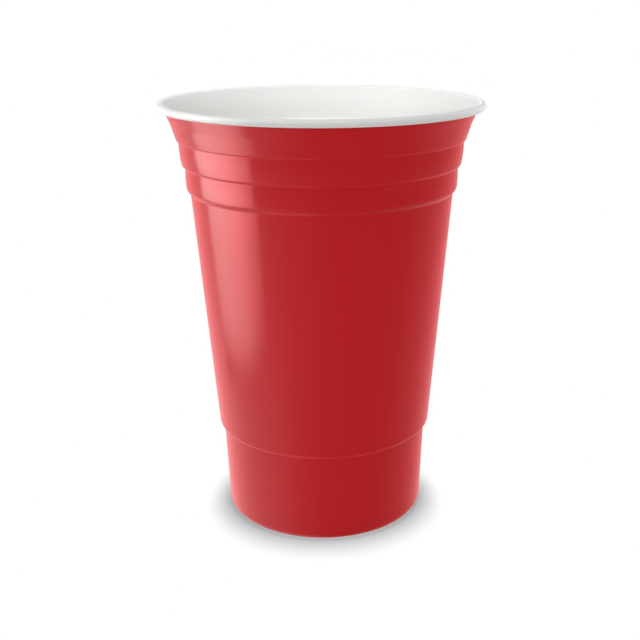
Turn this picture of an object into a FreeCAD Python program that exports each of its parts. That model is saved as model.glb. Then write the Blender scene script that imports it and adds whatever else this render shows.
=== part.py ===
import FreeCAD, Part
import math
import os

# A party cup formed from one thin sheet of plastic. Lengths are in millimetres and angles in
# degrees. The cup's axis is Z, and Z = 0 is the plane that its foot ring stands on.

# Overall size
cup_height = 125.4
rim_diameter = 94.0
base_diameter = 60.0
wall = 0.4

# Curl at the rim: the sheet rolls outwards over a round hollow, until its cut edge comes
# within curl_gap of the wall
curl_hollow = 1.36
curl_gap = 0.15

# Collar: the flared band between the rim and the highest step
collar_height = 10.7
collar_overhang = 5.45
collar_step = 0.52
collar_shelf_rise = 0.1
collar_rounding = 0.75
flare_height = 5.7
flare_angle = 24.0
flare_rounding = 9.0

# Upper grip band
upper_band_height = 7.45
upper_band_taper = 0.7
upper_band_bulge = 0.22
upper_band_step = 0.9
upper_shelf_rise = 0.25
upper_rounding = 1.3

# Lower grip band
lower_band_height = 7.65
lower_band_taper = 0.12
lower_band_bulge = 0.12
lower_band_step = 1.1
lower_shelf_rise = 1.2
lower_rounding = 2.2
bulge_rounding = 26.0

# Foot: the slimmer section under the tapered body
foot_height = 27.2
foot_taper = 1.1
foot_step = 1.25
foot_shelf_rise = 1.2
foot_shelf_rounding = 1.5
heel_rounding = 3.0

# Base: a flat ring to stand on, round a panel that is pushed up
ring_width = 5.0
ring_rounding = 0.8
panel_rise = 3.0
panel_draft = 20.0
panel_rounding = 1.2

# Crease where the top of a section meets the shelf above it
crease_rounding = 0.15

SHARP = 0.0
# The most of a straight side that the roundings at its two ends take up
ROUNDED_SHARE = 0.96
FULL_TURN = 360


def point(r, z):
    """A point of the section, in the plane through the axis."""
    return FreeCAD.Vector(r, 0, z)


def unit(run, rise):
    """The direction of a stretch of the section."""
    length = math.hypot(run, rise)
    return run / length, rise / length


def outside_corners():
    """The outer face's corners, each with its rounding, from the axis up to the curl."""
    base_r = base_diameter / 2
    ring_r = base_r - ring_width
    panel_r = ring_r - panel_rise * math.tan(math.radians(panel_draft))
    foot_top_r = base_r + foot_taper

    collar_r = rim_diameter / 2 - collar_overhang
    upper_top_r = collar_r - collar_step
    upper_low_r = upper_top_r - upper_band_taper
    lower_top_r = upper_low_r - upper_band_step
    lower_low_r = lower_top_r - lower_band_taper
    body_top_r = lower_low_r - lower_band_step

    upper_top_z = cup_height - collar_height
    lower_top_z = upper_top_z - upper_band_height
    body_top_z = lower_top_z - lower_band_height

    upper_top = (upper_top_r, upper_top_z)
    upper_low = (upper_low_r, lower_top_z + upper_shelf_rise)
    lower_top = (lower_top_r, lower_top_z)
    lower_low = (lower_low_r, body_top_z + lower_shelf_rise)

    return [
        (0, panel_rise, SHARP),
        (panel_r, panel_rise, panel_rounding),
        (ring_r, 0, ring_rounding),
        (base_r, 0, heel_rounding),
        (foot_top_r, foot_height, crease_rounding),
        (foot_top_r + foot_step, foot_height + foot_shelf_rise, foot_shelf_rounding),
        (body_top_r, body_top_z, crease_rounding),
        (*lower_low, lower_rounding),
        (*bulge_point(lower_low, lower_top, lower_band_bulge), bulge_rounding),
        (*lower_top, crease_rounding),
        (*upper_low, upper_rounding),
        (*bulge_point(upper_low, upper_top, upper_band_bulge), bulge_rounding),
        (*upper_top, crease_rounding),
        (collar_r, upper_top_z + collar_shelf_rise, collar_rounding),
        (*flare_knee(), flare_rounding),
        (*curl_start(curl_hollow / 2), SHARP),
    ]


def bulge_point(low, high, bulge):
    """The middle of a band's side, pushed outwards square to the side."""
    along_r, along_z = unit(high[0] - low[0], high[1] - low[1])
    middle_r = (low[0] + high[0]) / 2
    middle_z = (low[1] + high[1]) / 2
    return middle_r + bulge * along_z, middle_z - bulge * along_r


def flare_knee():
    """The bend in the collar, on the line along which the flare enters the curl."""
    start_r, start_z = curl_start(curl_hollow / 2)
    knee_z = cup_height - flare_height
    return start_r - (start_z - knee_z) * math.tan(math.radians(flare_angle)), knee_z


def curl_start(radius):
    """Where the flared wall runs into the roll, so that the two are tangent."""
    return curl_point(radius, curl_start_angle())


def curl_point(radius, angle):
    """A point at a radius about the curl's centre, its angle counted from straight outwards.
    The curl's outside touches the rim's diameter and the cup's height."""
    curl_r = curl_hollow / 2 + wall
    turn = math.radians(angle)
    centre_r = rim_diameter / 2 - curl_r
    centre_z = cup_height - curl_r
    return centre_r + radius * math.cos(turn), centre_z + radius * math.sin(turn)


def curl_start_angle():
    """Angle at which the roll begins, square to the flare."""
    return 180 - flare_angle


def curl_end_angle():
    """Angle at which the sheet's cut edge is curl_gap from the outside of the wall."""
    hollow_r = curl_hollow / 2
    reach = math.degrees(math.acos((hollow_r - curl_gap) / (hollow_r + wall)))
    return curl_start_angle() + reach - FULL_TURN


def directions_at(corners, index):
    """The directions in which the section arrives at a corner and leaves it."""
    (before_r, before_z), (here_r, here_z), (after_r, after_z) = [
        corner[:2] for corner in corners[index - 1:index + 2]
    ]
    return unit(here_r - before_r, here_z - before_z), unit(after_r - here_r, after_z - here_z)


def inside_corners(corners):
    """The same corners one wall further in, with roundings parallel to the outer ones."""
    inner = [(0, panel_rise + wall, SHARP)]
    for index in range(1, len(corners) - 1):
        arrive, leave = directions_at(corners, index)
        spread = 1 + arrive[0] * leave[0] + arrive[1] * leave[1]
        turn = arrive[0] * leave[1] - arrive[1] * leave[0]
        r = corners[index][0] - wall * (arrive[1] + leave[1]) / spread
        z = corners[index][1] + wall * (arrive[0] + leave[0]) / spread
        rounding = corners[index][2] - math.copysign(wall, turn)
        inner.append((r, z, max(rounding, SHARP)))
    inner.append((*curl_start(curl_hollow / 2 + wall), SHARP))
    return inner


def tangent_lengths(corners):
    """How far each rounding reaches along its two sides, as far as these have room."""
    reach = [0.0] * len(corners)
    for index in range(1, len(corners) - 1):
        arrive, leave = directions_at(corners, index)
        turn = math.acos(arrive[0] * leave[0] + arrive[1] * leave[1])
        reach[index] = corners[index][2] * math.tan(turn / 2)
    for index in range(len(corners) - 1):
        side = math.dist(corners[index][:2], corners[index + 1][:2])
        wanted = reach[index] + reach[index + 1]
        room = ROUNDED_SHARE * side
        if wanted > room:
            reach[index] *= room / wanted
            reach[index + 1] *= room / wanted
    return reach


def rounded_line(corners):
    """Straight runs through the corners, joined by tangent arcs."""
    reach = tangent_lengths(corners)
    edges = []
    here = point(*corners[0][:2])
    for index in range(1, len(corners) - 1):
        corner = point(*corners[index][:2])
        back = point(*corners[index - 1][:2]).sub(corner).normalize()
        ahead = point(*corners[index + 1][:2]).sub(corner).normalize()
        arc_start = corner + back * reach[index]
        arc_end = corner + ahead * reach[index]
        edges.append(straight(here, arc_start))
        if reach[index] > 0:
            half_angle = back.getAngle(ahead) / 2
            depth = reach[index] * (1 / math.cos(half_angle) - math.tan(half_angle))
            middle = corner + (back + ahead).normalize() * depth
            edges.append(Part.Arc(arc_start, middle, arc_end).toShape())
        here = arc_end
    edges.append(straight(here, point(*corners[-1][:2])))
    return edges


def straight(start, end):
    """A straight edge of the section."""
    return Part.LineSegment(start, end).toShape()


def curl_arc(radius):
    """The roll at one radius, from the flared wall over the top and round to the cut edge."""
    start_angle = curl_start_angle()
    end_angle = curl_end_angle()
    middle_angle = (start_angle + end_angle) / 2
    angles = (start_angle, middle_angle, end_angle)
    return Part.Arc(*[point(*curl_point(radius, angle)) for angle in angles]).toShape()


def section():
    """The sheet's closed section: up the outside, round the curl and down the inside."""
    outside = outside_corners()
    inside = inside_corners(outside)
    hollow_r = curl_hollow / 2
    outer_r = hollow_r + wall
    cut_edge = [point(*curl_point(radius, curl_end_angle())) for radius in (hollow_r, outer_r)]
    edges = rounded_line(outside)
    edges += [curl_arc(hollow_r), straight(*cut_edge), curl_arc(outer_r)]
    edges += reversed(rounded_line(inside))
    edges.append(straight(point(*inside[0][:2]), point(*outside[0][:2])))
    return Part.Face(Part.Wire(edges))


def make_cup():
    """The section turned once round the cup's axis."""
    return section().revolve(point(0, 0), FreeCAD.Vector(0, 0, 1), FULL_TURN)


cup = make_cup()
os.makedirs("parts", exist_ok=True)
cup.exportStep("parts/cup.step")
print("cup:", cup.ShapeType, "valid" if cup.isValid() else "not valid", round(cup.Volume, 1), "mm3")
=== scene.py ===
import math

import bpy
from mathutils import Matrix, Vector


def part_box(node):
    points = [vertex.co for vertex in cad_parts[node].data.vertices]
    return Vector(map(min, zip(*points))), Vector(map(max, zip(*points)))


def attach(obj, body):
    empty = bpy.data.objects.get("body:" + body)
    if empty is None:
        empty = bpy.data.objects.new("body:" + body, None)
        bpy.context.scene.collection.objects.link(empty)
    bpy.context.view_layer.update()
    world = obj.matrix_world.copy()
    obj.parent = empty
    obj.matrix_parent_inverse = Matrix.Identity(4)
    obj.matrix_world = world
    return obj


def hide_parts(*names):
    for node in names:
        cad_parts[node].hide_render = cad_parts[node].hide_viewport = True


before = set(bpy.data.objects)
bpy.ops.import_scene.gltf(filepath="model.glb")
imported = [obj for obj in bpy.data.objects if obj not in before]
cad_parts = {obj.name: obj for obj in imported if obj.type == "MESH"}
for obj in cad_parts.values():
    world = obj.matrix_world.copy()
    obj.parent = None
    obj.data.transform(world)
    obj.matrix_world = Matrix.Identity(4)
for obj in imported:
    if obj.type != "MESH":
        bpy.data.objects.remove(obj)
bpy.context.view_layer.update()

MM = 0.001
CUP_LOW, CUP_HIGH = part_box("cup")

# The cup's sizes in millimetres, the same as in the part's source. The height and the rim's
# diameter come from the frame.
CUP_HEIGHT = (CUP_HIGH[2] - CUP_LOW[2]) / MM
RIM_DIAMETER = round((CUP_HIGH[0] - CUP_LOW[0]) / MM, 1)
BASE_DIAMETER = 60.0
WALL = 0.4

CURL_HOLLOW = 1.36
CURL_GAP = 0.15

COLLAR_HEIGHT = 10.7
COLLAR_OVERHANG = 5.45
COLLAR_STEP = 0.52
COLLAR_SHELF_RISE = 0.1
COLLAR_ROUNDING = 0.75
FLARE_HEIGHT = 5.7
FLARE_ANGLE = 24.0
FLARE_ROUNDING = 9.0

UPPER_BAND_HEIGHT = 7.45
UPPER_BAND_TAPER = 0.7
UPPER_BAND_BULGE = 0.22
UPPER_BAND_STEP = 0.9
UPPER_SHELF_RISE = 0.25
UPPER_ROUNDING = 1.3

LOWER_BAND_HEIGHT = 7.65
LOWER_BAND_TAPER = 0.12
LOWER_BAND_BULGE = 0.12
LOWER_BAND_STEP = 1.1
LOWER_SHELF_RISE = 1.2
LOWER_ROUNDING = 2.2
BULGE_ROUNDING = 26.0

FOOT_HEIGHT = 27.2
FOOT_TAPER = 1.1
FOOT_STEP = 1.25
FOOT_SHELF_RISE = 1.2
FOOT_SHELF_ROUNDING = 1.5
HEEL_ROUNDING = 3.0

RING_WIDTH = 5.0
RING_ROUNDING = 0.8
PANEL_RISE = 3.0
PANEL_DRAFT = 20.0
PANEL_ROUNDING = 1.2

CREASE_ROUNDING = 0.15
SHARP = 0.0

# The lining's matt finish and its white run over the top of the bead to this angle, counted from straight
# outwards; below it the rim's greyer white is painted shade on the bead's outer face
LINING_EDGE = 85.0

# How finely the section is drawn: degrees of an arc to a step, the most millimetres of a straight
# run to a step, how far from its ends a run has a point that keeps the shading flat, and the length
# under which it has no such points
ARC_STEP = 9.0
RUN_STEP = 5.0
RUN_INSET = 0.2
SHORT_RUN = 4 * RUN_INSET

# The share of a straight side that the roundings at its two ends may take up between them
ROUNDING_ROOM = 0.96

# How the section is turned: steps to the full circle, and the metres under which points are merged
STEPS_ROUND = 240
MERGE_DISTANCE = 0.002 * MM

# The inputs of the Geometry Nodes tree that turns the section
TREE_INPUTS = (
    ("Section", "NodeSocketGeometry"),
    ("Section points", "NodeSocketInt"),
    ("Steps round", "NodeSocketInt"),
    ("Rim from", "NodeSocketFloat"),
    ("Lining from", "NodeSocketFloat"),
    ("Red face", "NodeSocketMaterial"),
    ("Rim", "NodeSocketMaterial"),
    ("Lining", "NodeSocketMaterial"),
)

# The studio, in metres and radians. The cup stands at the origin, and the camera looks along +Y.
CAMERA_PLACE = (0, -0.30135, 0.15658)
CAMERA_LOOKS_DOWN = 0.313
CAMERA_LOOKS_RIGHT = 0.031

# The table's width, in metres
TABLE_SIZE = 6.0

# The contact shadow on the table, first in front of the cup and then beside and behind it: how far
# it reaches, in metres, and its darkest grey. It is darkest where the cup leaves no more than this
# share of what is above the table open.
SHADOW_REACH = (0.0115, 0.0075)
SHADOW_GREY = (0.47, 0.33)
DARKEST_OPEN_SHARE = 0.42

# Each lamp's place, its width and height, and its radiance. All of them point at the cup's middle.
LAMP_AIM = (0, 0, 0.06)
LAMPS = {
    "left_back": ((-0.45, 0.32, 0.12), 0.3, 0.1, 36.0),
    "right_back": ((0.45, 0.32, 0.12), 0.3, 0.1, 30.0),
    "left_edge": ((-0.28, 0.48, 0.12), 0.3, 0.1, 60.0),
    "right_edge": ((0.28, 0.48, 0.12), 0.3, 0.1, 60.0),
    "left_side": ((-0.5, -0.2, 0.03), 0.4, 0.1, 1.5),
    "right_side": ((0.5, -0.2, 0.06), 0.4, 0.2, 2.7),
    "front_fill": ((-0.18, -0.88, 0.38), 0.6, 0.5, 3.4),
    "overhead": ((-0.05, -0.1, 0.75), 0.6, 0.6, 2.8),
    "under_table": ((-0.15, -0.15, -0.5), 0.8, 0.8, 3.0),
}


def unit(run, rise):
    """The direction of a stretch of the section."""
    length = math.hypot(run, rise)
    return run / length, rise / length


def outside_corners():
    """The outer face's corners, each with its rounding, from the axis up to the curl."""
    base_r = BASE_DIAMETER / 2
    ring_r = base_r - RING_WIDTH
    panel_r = ring_r - PANEL_RISE * math.tan(math.radians(PANEL_DRAFT))
    foot_top_r = base_r + FOOT_TAPER

    collar_r = RIM_DIAMETER / 2 - COLLAR_OVERHANG
    upper_top_r = collar_r - COLLAR_STEP
    upper_low_r = upper_top_r - UPPER_BAND_TAPER
    lower_top_r = upper_low_r - UPPER_BAND_STEP
    lower_low_r = lower_top_r - LOWER_BAND_TAPER
    body_top_r = lower_low_r - LOWER_BAND_STEP

    upper_top_z = CUP_HEIGHT - COLLAR_HEIGHT
    lower_top_z = upper_top_z - UPPER_BAND_HEIGHT
    body_top_z = lower_top_z - LOWER_BAND_HEIGHT

    upper_top = (upper_top_r, upper_top_z)
    upper_low = (upper_low_r, lower_top_z + UPPER_SHELF_RISE)
    lower_top = (lower_top_r, lower_top_z)
    lower_low = (lower_low_r, body_top_z + LOWER_SHELF_RISE)

    return [
        (0, PANEL_RISE, SHARP),
        (panel_r, PANEL_RISE, PANEL_ROUNDING),
        (ring_r, 0, RING_ROUNDING),
        (base_r, 0, HEEL_ROUNDING),
        (foot_top_r, FOOT_HEIGHT, CREASE_ROUNDING),
        (foot_top_r + FOOT_STEP, FOOT_HEIGHT + FOOT_SHELF_RISE, FOOT_SHELF_ROUNDING),
        (body_top_r, body_top_z, CREASE_ROUNDING),
        (*lower_low, LOWER_ROUNDING),
        (*bulge_point(lower_low, lower_top, LOWER_BAND_BULGE), BULGE_ROUNDING),
        (*lower_top, CREASE_ROUNDING),
        (*upper_low, UPPER_ROUNDING),
        (*bulge_point(upper_low, upper_top, UPPER_BAND_BULGE), BULGE_ROUNDING),
        (*upper_top, CREASE_ROUNDING),
        (collar_r, upper_top_z + COLLAR_SHELF_RISE, COLLAR_ROUNDING),
        (*flare_knee(), FLARE_ROUNDING),
        (*curl_point(CURL_HOLLOW / 2, 180 - FLARE_ANGLE), SHARP),
    ]


def bulge_point(low, high, bulge):
    """The middle of a band's side, pushed outwards square to the side."""
    along_r, along_z = unit(high[0] - low[0], high[1] - low[1])
    return (low[0] + high[0]) / 2 + bulge * along_z, (low[1] + high[1]) / 2 - bulge * along_r


def flare_knee():
    """The bend in the collar, on the line along which the flare enters the curl."""
    start_r, start_z = curl_point(CURL_HOLLOW / 2, 180 - FLARE_ANGLE)
    knee_z = CUP_HEIGHT - FLARE_HEIGHT
    return start_r - (start_z - knee_z) * math.tan(math.radians(FLARE_ANGLE)), knee_z


def curl_point(radius, angle):
    """A point at a radius about the curl's centre, its angle counted from straight outwards."""
    curl_r = CURL_HOLLOW / 2 + WALL
    turn = math.radians(angle)
    centre_r = RIM_DIAMETER / 2 - curl_r
    centre_z = CUP_HEIGHT - curl_r
    return centre_r + radius * math.cos(turn), centre_z + radius * math.sin(turn)


def curl_points(radius):
    """The roll at one radius, from the flared wall over the top and round to the cut edge."""
    hollow_r = CURL_HOLLOW / 2
    start = 180 - FLARE_ANGLE
    end = start + math.degrees(math.acos((hollow_r - CURL_GAP) / (hollow_r + WALL))) - 360
    steps = math.ceil((start - end) / ARC_STEP)
    return [curl_point(radius, start + (end - start) * step / steps) for step in range(steps + 1)]


def directions_at(corners, index):
    """The directions in which the section arrives at a corner and leaves it."""
    before, here, after = corners[index - 1:index + 2]
    return unit(here[0] - before[0], here[1] - before[1]), unit(after[0] - here[0], after[1] - here[1])


def inside_corners(corners):
    """The same corners one wall further in, with roundings parallel to the outer ones."""
    inner = [(0, PANEL_RISE + WALL, SHARP)]
    for index in range(1, len(corners) - 1):
        arrive, leave = directions_at(corners, index)
        spread = 1 + arrive[0] * leave[0] + arrive[1] * leave[1]
        turn = arrive[0] * leave[1] - arrive[1] * leave[0]
        r = corners[index][0] - WALL * (arrive[1] + leave[1]) / spread
        z = corners[index][1] + WALL * (arrive[0] + leave[0]) / spread
        inner.append((r, z, max(corners[index][2] - math.copysign(WALL, turn), SHARP)))
    inner.append((*curl_point(CURL_HOLLOW / 2 + WALL, 180 - FLARE_ANGLE), SHARP))
    return inner


def tangent_lengths(corners):
    """How far each rounding reaches along its two sides, as far as these have room."""
    reach = [0.0] * len(corners)
    for index in range(1, len(corners) - 1):
        arrive, leave = directions_at(corners, index)
        turn = math.acos(arrive[0] * leave[0] + arrive[1] * leave[1])
        reach[index] = corners[index][2] * math.tan(turn / 2)
    for index in range(len(corners) - 1):
        room = ROUNDING_ROOM * math.dist(corners[index][:2], corners[index + 1][:2])
        wanted = reach[index] + reach[index + 1]
        if wanted > room:
            reach[index] *= room / wanted
            reach[index + 1] *= room / wanted
    return reach


def run_points(start, end):
    """A straight run's points: its ends, a point just inside each, and even steps between."""
    length = math.dist(start, end)
    if length < SHORT_RUN:
        return [start, end]
    steps = math.ceil((length - 2 * RUN_INSET) / RUN_STEP)
    inner = [RUN_INSET + (length - 2 * RUN_INSET) * step / steps for step in range(steps + 1)]
    if start[0] == 0:
        inner = inner[1:]
    shares = [0, *[place / length for place in inner], 1]
    return [tuple(a + (b - a) * share for a, b in zip(start, end)) for share in shares]


def arc_points(start, reach, arrive, leave):
    """The inner points of the tangent arc that rounds a corner, from where the arc starts."""
    turn = math.acos(arrive[0] * leave[0] + arrive[1] * leave[1])
    steps = max(2, math.ceil(math.degrees(turn) / ARC_STEP))
    radius = reach / math.tan(turn / 2)
    side = math.copysign(1, arrive[0] * leave[1] - arrive[1] * leave[0])
    centre = (start[0] - side * radius * arrive[1], start[1] + side * radius * arrive[0])
    first = math.atan2(start[1] - centre[1], start[0] - centre[0])
    angles = [first + side * turn * step / steps for step in range(1, steps)]
    return [(centre[0] + radius * math.cos(a), centre[1] + radius * math.sin(a)) for a in angles]


def rounded_line(corners):
    """The points of straight runs through the corners, joined by tangent arcs."""
    reach = tangent_lengths(corners)
    points = []
    here = corners[0][:2]
    for index in range(1, len(corners) - 1):
        corner = corners[index][:2]
        arrive, leave = directions_at(corners, index)
        arc_start = tuple(c - reach[index] * a for c, a in zip(corner, arrive))
        arc_end = tuple(c + reach[index] * a for c, a in zip(corner, leave))
        points += run_points(here, arc_start)
        if reach[index] > 0:
            points += arc_points(arc_start, reach[index], arrive, leave)
            here = arc_end
        else:
            points.pop()
            here = arc_start
    return points + run_points(here, corners[-1][:2])


def section():
    """The sheet's section as three stretches of points: the red face, the rolled rim, the lining."""
    outside = outside_corners()
    red = rounded_line(outside) + curl_points(CURL_HOLLOW / 2)[1:]
    roll = curl_points(CURL_HOLLOW / 2 + WALL)[::-1]
    # The lining's white runs over the top of the bead, and the rest of the roll takes the rim's greyer
    # white, which is painted shade
    over = round((180 - FLARE_ANGLE - LINING_EDGE) / ARC_STEP)
    rim, lip = roll[:-over], roll[-over:]
    lining = lip + rounded_line(inside_corners(outside))[::-1][1:]
    return red, rim, lining


def node(tree, kind, links=None, **settings):
    """Adds a node. Settings are its own properties, and links give its inputs a value or a socket."""
    made = tree.nodes.new(kind)
    for name, value in settings.items():
        setattr(made, name, value)
    for name, value in (links or {}).items():
        if isinstance(value, bpy.types.NodeSocket):
            tree.links.new(value, made.inputs[name])
        else:
            made.inputs[name].default_value = value
    return made


def linear(hex_colour):
    """An sRGB hex colour as linear RGBA."""
    parts = [int(hex_colour[place:place + 2], 16) / 255 for place in (1, 3, 5)]
    return [*[c / 12.92 if c <= 0.04045 else ((c + 0.055) / 1.055) ** 2.4 for c in parts], 1.0]


def turned_form_tree():
    """Geometry nodes that turn a section, drawn in the XZ plane, once round the Z axis."""
    tree = bpy.data.node_groups.new("turned_cup", "GeometryNodeTree")
    for name, kind in TREE_INPUTS:
        tree.interface.new_socket(name, in_out="INPUT", socket_type=kind)
    tree.interface.new_socket("Cup", in_out="OUTPUT", socket_type="NodeSocketGeometry")
    sizes = node(tree, "NodeGroupInput").outputs
    form, column = turned_grid(tree, sizes)
    finished = with_finishes(tree, form, column, sizes)
    closed = node(tree, "GeometryNodeMergeByDistance", {"Geometry": finished, "Distance": MERGE_DISTANCE})
    smooth = node(tree, "GeometryNodeSetShadeSmooth", {"Geometry": closed.outputs[0]})
    whole = node(tree, "GeometryNodeRealizeInstances", {"Geometry": smooth.outputs[0]})
    node(tree, "NodeGroupOutput", {"Cup": whole.outputs[0]})
    return tree


def turned_grid(tree, sizes):
    """A grid with a column for each point of the section and one more row than steps round, bent
    into the turned form. Gives the form and the number of each point's column."""
    rows = node(tree, "ShaderNodeMath", {0: sizes["Steps round"], 1: 1.0}, operation="ADD")
    grid = node(tree, "GeometryNodeMeshGrid", {
        "Vertices X": sizes["Section points"], "Vertices Y": rows.outputs[0],
    })
    index = node(tree, "GeometryNodeInputIndex")
    column = node(tree, "ShaderNodeMath", {0: index.outputs[0], 1: rows.outputs[0]}, operation="DIVIDE")
    column = node(tree, "ShaderNodeMath", {0: column.outputs[0]}, operation="FLOOR")
    row = node(tree, "ShaderNodeMath", {0: index.outputs[0], 1: rows.outputs[0]}, operation="MODULO")
    share = node(tree, "ShaderNodeMath", {0: row.outputs[0], 1: sizes["Steps round"]}, operation="DIVIDE")
    turn = node(tree, "ShaderNodeMath", {0: share.outputs[0], 1: math.tau}, operation="MULTIPLY")

    place = node(tree, "GeometryNodeInputPosition")
    drawn = node(
        tree, "GeometryNodeSampleIndex",
        {"Geometry": sizes["Section"], "Value": place.outputs[0], "Index": column.outputs[0]},
        data_type="FLOAT_VECTOR", domain="POINT",
    )
    turned = node(
        tree, "ShaderNodeVectorRotate",
        {"Vector": drawn.outputs["Value"], "Axis": (0, 0, 1), "Angle": turn.outputs[0]},
        rotation_type="AXIS_ANGLE",
    )
    form = node(tree, "GeometryNodeSetPosition", {
        "Geometry": grid.outputs["Mesh"], "Position": turned.outputs[0],
    })
    return form.outputs[0], column.outputs[0]


def with_finishes(tree, form, column, sizes):
    """Gives the form its three materials. The column's number, kept on the points, tells on which
    stretch of the section a face lies."""
    marked = node(
        tree, "GeometryNodeStoreNamedAttribute",
        {"Geometry": form, "Name": "station", "Value": column},
        data_type="FLOAT", domain="POINT",
    )
    station = node(tree, "GeometryNodeInputNamedAttribute", {"Name": "station"}, data_type="FLOAT")
    made = node(tree, "GeometryNodeSetMaterial", {
        "Geometry": marked.outputs[0], "Material": sizes["Red face"],
    })
    for start, finish in (("Rim from", "Rim"), ("Lining from", "Lining")):
        beyond = node(
            tree, "FunctionNodeCompare", {"A": station.outputs["Attribute"], "B": sizes[start]},
            data_type="FLOAT", operation="GREATER_THAN",
        )
        made = node(tree, "GeometryNodeSetMaterial", {
            "Geometry": made.outputs[0], "Selection": beyond.outputs[0], "Material": sizes[finish],
        })
    return made.outputs[0]


def set_inputs(modifier, values):
    """Sets a modifier's inputs by name, through each socket's identifier."""
    for item in modifier.node_group.interface.items_tree:
        if item.in_out == "INPUT" and item.name in values:
            modifier[item.identifier] = values[item.name]


def make_cup(red_face, rim_face, lining_face):
    """The cup as one closed mesh, turned from its section."""
    red, rim, lining = section()
    points = [(r * MM, 0, z * MM) for r, z in red + rim + lining]
    drawing = bpy.data.meshes.new("cup_section")
    drawing.from_pydata(points, [(i, i + 1) for i in range(len(points) - 1)], [])
    drawn = bpy.data.objects.new("cup_section", drawing)
    bpy.context.scene.collection.objects.link(drawn)
    modifier = drawn.modifiers.new("turn", "NODES")
    modifier.node_group = turned_form_tree()
    set_inputs(modifier, {
        "Section points": len(points),
        "Steps round": STEPS_ROUND,
        "Rim from": len(red) - 1.0,
        "Lining from": len(red) + len(rim) - 1.0,
        "Red face": red_face,
        "Rim": rim_face,
        "Lining": lining_face,
    })
    bpy.context.view_layer.update()
    evaluated = drawn.evaluated_get(bpy.context.evaluated_depsgraph_get())
    mesh = bpy.data.meshes.new_from_object(evaluated)
    bpy.data.objects.remove(drawn)
    mesh.name = "party_cup"
    cup = bpy.data.objects.new("party_cup", mesh)
    bpy.context.scene.collection.objects.link(cup)
    return cup


def new_material(name):
    """A new material with an empty node tree."""
    material = bpy.data.materials.new(name)
    material.use_nodes = True
    material.node_tree.nodes.clear()
    return material, material.node_tree


def plastic(name, colour, finish):
    """A plastic of an sRGB colour. The finish gives the Principled shader's other inputs."""
    material, tree = new_material(name)
    shader = node(tree, "ShaderNodeBsdfPrincipled", {"Base Color": linear(colour), **finish})
    node(tree, "ShaderNodeOutputMaterial", {"Surface": shader.outputs[0]})
    return material, tree, shader


def roughen(tree, shader, size, height, detail):
    """Makes a surface gently uneven, with bumps of a size and height in metres."""
    place = node(tree, "ShaderNodeTexCoord").outputs["Object"]
    bumps = node(tree, "ShaderNodeTexNoise", {"Vector": place, "Scale": 1 / size, "Detail": detail})
    raised = node(tree, "ShaderNodeBump", {"Height": bumps.outputs[0], "Distance": height})
    tree.links.new(raised.outputs[0], shader.inputs["Normal"])


def red_polystyrene():
    """Red high-impact polystyrene, thermoformed against a mould, with the gloss of its outer side.
    The pigment lies right under the skin, so the streaks of gloss come out pink, not grey, and a
    faint red sheen lightens the edges. The forming leaves soft waves a few millimetres long, like
    orange peel, which make the streaks waver slightly."""
    material, tree, shader = plastic("red_thermoformed_polystyrene", "#B2191D", {
        "Roughness": 0.15,
        "IOR": 1.59,
        "Specular Tint": (1.0, 0.33, 0.35, 1.0),
        "Sheen Weight": 0.25,
        "Sheen Roughness": 0.35,
        "Sheen Tint": (1.0, 0.15, 0.17, 1.0),
    })
    roughen(tree, shader, size=3.5 * MM, height=0.012 * MM, detail=2.0)
    return material


def white_lining():
    """White high-impact polystyrene, the sheet's inner side: matt, so it shades softly with no
    streaks. The real grain is too fine to show, so it is drawn as coarse as the render needs."""
    material, tree, shader = plastic("white_matt_polystyrene", "#EFEFED", {"Roughness": 0.6})
    roughen(tree, shader, size=0.45 * MM, height=0.09 * MM, detail=1.0)
    return material


def white_rim_painted_shade():
    """The same white polystyrene where the hot sheet was rolled into the bead, which leaves it smoother:
    satin, with a soft line of light along its front. Its white is a shade greyer than the lining's:
    painted shade on the bead's outer and lower face, which faces away from the light above."""
    return plastic("white_rolled_polystyrene_painted_shade", "#CECECC", {"Roughness": 0.33})[0]


def make_plane(name, middle, turn, size_x, size_y, hidden_from):
    """A flat rectangle of the studio, its sizes in metres along its own X and Y, as it is before it
    is turned. The named kinds of ray don't meet it."""
    bpy.ops.mesh.primitive_plane_add(size=1.0, location=middle, rotation=turn)
    plane = bpy.context.object
    plane.name = name
    plane.scale = (size_x, size_y, 1.0)
    for kind in hidden_from:
        setattr(plane, "visible_" + kind, False)
    return plane


def make_floor():
    """A white table top, on which the camera sees the cup's soft contact shadow, drawn from how much
    of the cup is near. To other rays it is a plain grey surface, lit by the lamps."""
    floor = make_plane("table_top", (0, 0, 0), (0, 0, 0), TABLE_SIZE, TABLE_SIZE, ("glossy", "shadow"))
    material, tree = new_material("white_table_top")
    place = node(tree, "ShaderNodeTexCoord").outputs["Object"]
    away = node(tree, "ShaderNodeVectorMath", {0: place}, operation="NORMALIZE")
    behind = node(tree, "ShaderNodeSeparateXYZ", {0: away.outputs[0]}).outputs["Y"]
    reach, darkest = [
        node(tree, "ShaderNodeMapRange", {
            "Value": behind, "From Min": -1.0, "From Max": 0.0, "To Min": in_front, "To Max": beside,
        }).outputs[0]
        for in_front, beside in (SHADOW_REACH, SHADOW_GREY)
    ]
    open_share = node(tree, "ShaderNodeAmbientOcclusion", {"Distance": reach}, samples=16).outputs["AO"]
    grey = node(tree, "ShaderNodeMapRange", {
        "Value": open_share,
        "From Min": DARKEST_OPEN_SHARE, "To Min": darkest, "From Max": 1.0, "To Max": 1.0,
    })
    seen = node(tree, "ShaderNodeEmission", {"Color": linear("#FFFFFF"), "Strength": grey.outputs[0]})
    lit = node(tree, "ShaderNodeBsdfDiffuse", {"Color": linear("#8C8C8C")})
    mixed = node(tree, "ShaderNodeMixShader", {0: seen_rays(tree), 1: lit.outputs[0], 2: seen.outputs[0]})
    node(tree, "ShaderNodeOutputMaterial", {"Surface": mixed.outputs[0]})
    floor.data.materials.append(material)


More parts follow.
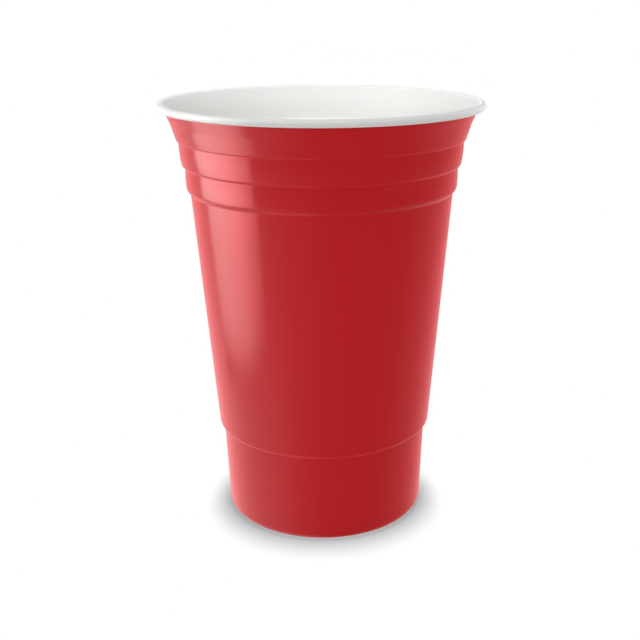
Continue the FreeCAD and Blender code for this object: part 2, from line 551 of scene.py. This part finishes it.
def seen_rays(tree):
    """One for the rays that show the background: the camera's, and those of gloss and glass."""
    rays = node(tree, "ShaderNodeLightPath").outputs
    seen = rays["Is Camera Ray"]
    for kind in ("Is Glossy Ray", "Is Transmission Ray"):
        seen = node(tree, "ShaderNodeMath", {0: seen, 1: rays[kind]}, operation="MAXIMUM").outputs[0]
    return seen


def grey_ramp(tree, value, low, high, stops):
    """A grey that runs evenly from stop to stop. Each stop is a value and its grey."""
    place = node(tree, "ShaderNodeMapRange", {"Value": value, "From Min": low, "From Max": high})
    ramp = node(tree, "ShaderNodeValToRGB", {0: place.outputs[0]})
    points = ramp.color_ramp.elements
    while len(points) < len(stops):
        points.new(0.5)
    for point, (at, grey) in zip(points, stops):
        point.position = (at - low) / (high - low)
        point.color = (grey, grey, grey, 1)
    return ramp.outputs[0]


def make_softbox_front():
    """The diffuser of the softbox at the left, which the gloss shows as a tall bright streak. It is
    brightest near its middle and dims towards its two ends and its foot, in bands that climb
    slightly towards the back."""
    beside, back, front, low, high = -0.14, 0.038, -0.109, -0.012, 0.24
    climb = 0.13
    strength = 8.2
    middle = (beside, (back + front) / 2, (low + high) / 2)
    upright = (0, math.pi / 2, 0)
    hidden_from = ("camera", "diffuse", "shadow")
    card = make_plane("left_softbox_front", middle, upright, high - low, back - front, hidden_from)
    material, tree = new_material("left_softbox_front")
    place = node(tree, "ShaderNodeNewGeometry").outputs["Position"]
    parts = node(tree, "ShaderNodeSeparateXYZ", {0: place}).outputs
    across = grey_ramp(tree, parts["Y"], front, back, [
        (front, 0.53), (-0.09, 0.68), (-0.079, 0.79), (-0.068, 0.89), (-0.057, 0.97), (-0.047, 1.0),
        (-0.036, 0.98), (-0.025, 0.9), (-0.014, 0.84), (-0.002, 0.76), (0.011, 0.63), (0.026, 0.47),
        (back, 0.35),
    ])
    level = node(tree, "ShaderNodeMath", {
        0: parts["Y"], 1: -climb, 2: parts["Z"],
    }, operation="MULTIPLY_ADD")
    up = grey_ramp(tree, level.outputs[0], low, high, [
        (low, 0.18), (-0.006, 0.19), (0.0005, 0.31), (0.006, 0.43), (0.0105, 0.5), (0.0185, 0.57),
        (0.0315, 0.64), (0.0475, 0.71), (0.0595, 0.8), (0.0805, 1.02), (0.1, 0.95), (high, 0.9),
    ])
    both = node(tree, "ShaderNodeMath", {0: across, 1: up}, operation="MULTIPLY")
    power = node(tree, "ShaderNodeMath", {0: both.outputs[0], 1: strength}, operation="MULTIPLY")
    light = node(tree, "ShaderNodeEmission", {"Strength": power.outputs[0]})
    node(tree, "ShaderNodeOutputMaterial", {"Surface": light.outputs[0]})
    card.data.materials.append(material)


def make_flag():
    """A dark card behind the cup, so that the lamps from behind light the cup's two edges and not
    the whole of its back."""
    width, behind, low, high = 0.1, 0.056, 0.008, 0.2
    middle = (0, behind, (low + high) / 2)
    upright = (math.pi / 2, 0, 0)
    hidden_from = ("camera", "diffuse", "glossy", "transmission")
    card = make_plane("flag_behind", middle, upright, width, high - low, hidden_from)
    material, tree = new_material("black_card")
    black = node(tree, "ShaderNodeBsdfDiffuse", {"Color": linear("#101010")})
    node(tree, "ShaderNodeOutputMaterial", {"Surface": black.outputs[0]})
    card.data.materials.append(material)


def make_lamp(name, place, width, height, radiance):
    """A soft rectangular lamp at a place, turned to the cup. Sizes in metres."""
    data = bpy.data.lights.new(name, "AREA")
    data.shape = "RECTANGLE"
    data.size = width
    data.size_y = height
    data.energy = radiance * math.pi * width * height
    lamp = bpy.data.objects.new(name, data)
    lamp.location = place
    lamp.rotation_euler = (Vector(LAMP_AIM) - Vector(place)).to_track_quat("-Z", "Y").to_euler()
    lamp.visible_camera = False
    lamp.visible_glossy = False
    bpy.context.scene.collection.objects.link(lamp)


def reflected_studio(tree, parts):
    """What the gloss shows of the studio, by degrees round the cup from the camera's side, left
    counted negative, and by height: bright at the left, dim in front and at the right."""
    front = node(tree, "ShaderNodeMath", {0: parts["Y"], 1: -1.0}, operation="MULTIPLY")
    turn = node(tree, "ShaderNodeMath", {0: parts["X"], 1: front.outputs[0]}, operation="ARCTAN2")
    angle = node(tree, "ShaderNodeMath", {0: turn.outputs[0]}, operation="DEGREES")
    around = grey_ramp(tree, angle.outputs[0], -180.0, 180.0, [
        (-180, 0.45), (-155, 0.7), (-133, 0.95), (-110, 1.2), (-80, 1.4), (-60, 1.5), (-45, 1.3),
        (-32, 0.95), (-12, 0.62), (0, 0.45), (28, 0.33), (58, 0.31), (94, 0.37), (155, 0.42), (180, 0.45),
    ])
    height = grey_ramp(tree, parts["Z"], -1.0, 1.0, [
        (-1.0, 0.5), (-0.88, 0.65), (-0.75, 0.8), (-0.62, 0.9), (-0.5, 1.0), (-0.4, 0.9),
        (-0.3, 0.75), (-0.22, 0.7), (0.0, 0.65), (1.0, 0.65),
    ])
    return node(tree, "ShaderNodeMath", {0: around, 1: height}, operation="MULTIPLY").outputs[0]


def make_world():
    """A pale studio: an even fill light, its own picture for the gloss to show, and plain white for
    the camera and where gloss or glass looks straight to the back."""
    fill = 0.295
    world = bpy.data.worlds.new("studio")
    world.use_nodes = True
    tree = world.node_tree
    tree.nodes.clear()
    way = node(tree, "ShaderNodeTexCoord").outputs["Generated"]
    parts = node(tree, "ShaderNodeSeparateXYZ", {0: way}).outputs
    rays = node(tree, "ShaderNodeLightPath").outputs
    level = node(tree, "ShaderNodeMix", {
        "Factor": rays["Is Glossy Ray"], "A": fill, "B": reflected_studio(tree, parts),
    }, data_type="FLOAT")
    studio = node(tree, "ShaderNodeBackground", {"Color": linear("#FFFFFF"), "Strength": level.outputs[0]})
    white = node(tree, "ShaderNodeBackground", {"Color": linear("#FFFFFF"), "Strength": 1.0})
    behind = grey_ramp(tree, parts["Y"], -1.0, 1.0, [(-1.0, 0.0), (0.97, 0.0), (0.99, 1.0)])
    mirrored = node(tree, "ShaderNodeMath", {
        0: rays["Is Glossy Ray"], 1: rays["Is Transmission Ray"],
    }, operation="MAXIMUM")
    mirrored = node(tree, "ShaderNodeMath", {0: mirrored.outputs[0], 1: behind}, operation="MULTIPLY")
    seen = node(tree, "ShaderNodeMath", {
        0: rays["Is Camera Ray"], 1: mirrored.outputs[0],
    }, operation="MAXIMUM")
    mixed = node(tree, "ShaderNodeMixShader", {
        0: seen.outputs[0], 1: studio.outputs[0], 2: white.outputs[0],
    })
    node(tree, "ShaderNodeOutputWorld", {"Surface": mixed.outputs[0]})
    bpy.context.scene.world = world


def make_camera():
    """The photograph's view: from in front, a little above the rim, looking down at the cup."""
    data = bpy.data.cameras.new("camera")
    data.sensor_width = 36.0
    data.lens = 58.25
    data.shift_x = -0.0532
    camera = bpy.data.objects.new("camera", data)
    camera.location = CAMERA_PLACE
    camera.rotation_euler = (math.pi / 2 - CAMERA_LOOKS_DOWN, 0, -CAMERA_LOOKS_RIGHT)
    bpy.context.scene.collection.objects.link(camera)
    bpy.context.scene.camera = camera


make_camera()
cup = make_cup(red_polystyrene(), white_rim_painted_shade(), white_lining())
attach(cup, "root")
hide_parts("cup")
make_floor()
make_world()
make_softbox_front()
make_flag()
for name, (place, width, height, radiance) in LAMPS.items():
    make_lamp(name, place, width, height, radiance)
bpy.context.scene.view_settings.view_transform = "Standard"
